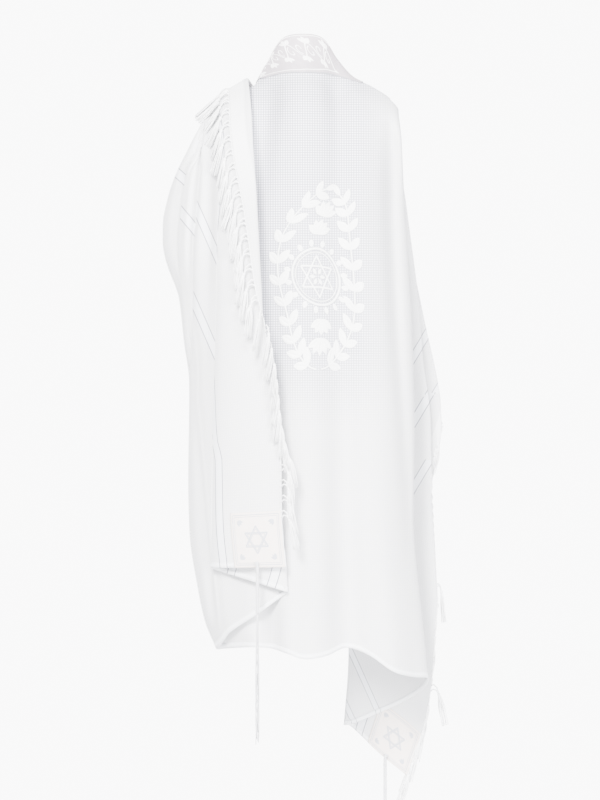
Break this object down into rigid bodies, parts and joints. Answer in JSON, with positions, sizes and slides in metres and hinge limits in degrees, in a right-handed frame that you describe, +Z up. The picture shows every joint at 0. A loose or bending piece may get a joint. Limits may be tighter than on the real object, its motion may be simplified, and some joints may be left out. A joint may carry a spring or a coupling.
{
  "type": "tallit prayer shawl",
  "caption": "Draped fringed prayer shawl as worn: cloth over both shoulders, one side folded back over its shoulder, with corner squares and knotted corner tassels.",
  "frame": {"origin": "base of the wearer's neck, level with the tops of the shoulders, where the shawl is carried", "axes": "+Z up, -Y out of the wearer's back, +X toward the wearer's right"},
  "size_m": [0.6657, 0.4027, 2.0178],
  "materials": {
    "white_wool": "matte, soft nap",
    "white_brocade": "soft satin",
    "cream_satin": "satin",
    "white_yarn": "matte twisted yarn"
  },
  "bodies": {
    "root": {"shawl_cloth": "white_wool", "atarah": "white_brocade", "square_lower_left": "cream_satin", "square_lower_right": "cream_satin", "square_upper_left": "cream_satin", "square_upper_right": "cream_satin", "fringe_left_1": "white_yarn", "fringe_left_2": "white_yarn", "fringe_left_3": "white_yarn", "fringe_right_1": "white_yarn", "fringe_right_2": "white_yarn", "tzitzit_lower_left": "white_yarn", "tzitzit_lower_right": "white_yarn", "tzitzit_upper_left": "white_yarn", "tzitzit_upper_right": "white_yarn"}
  },
  "joints": []
}
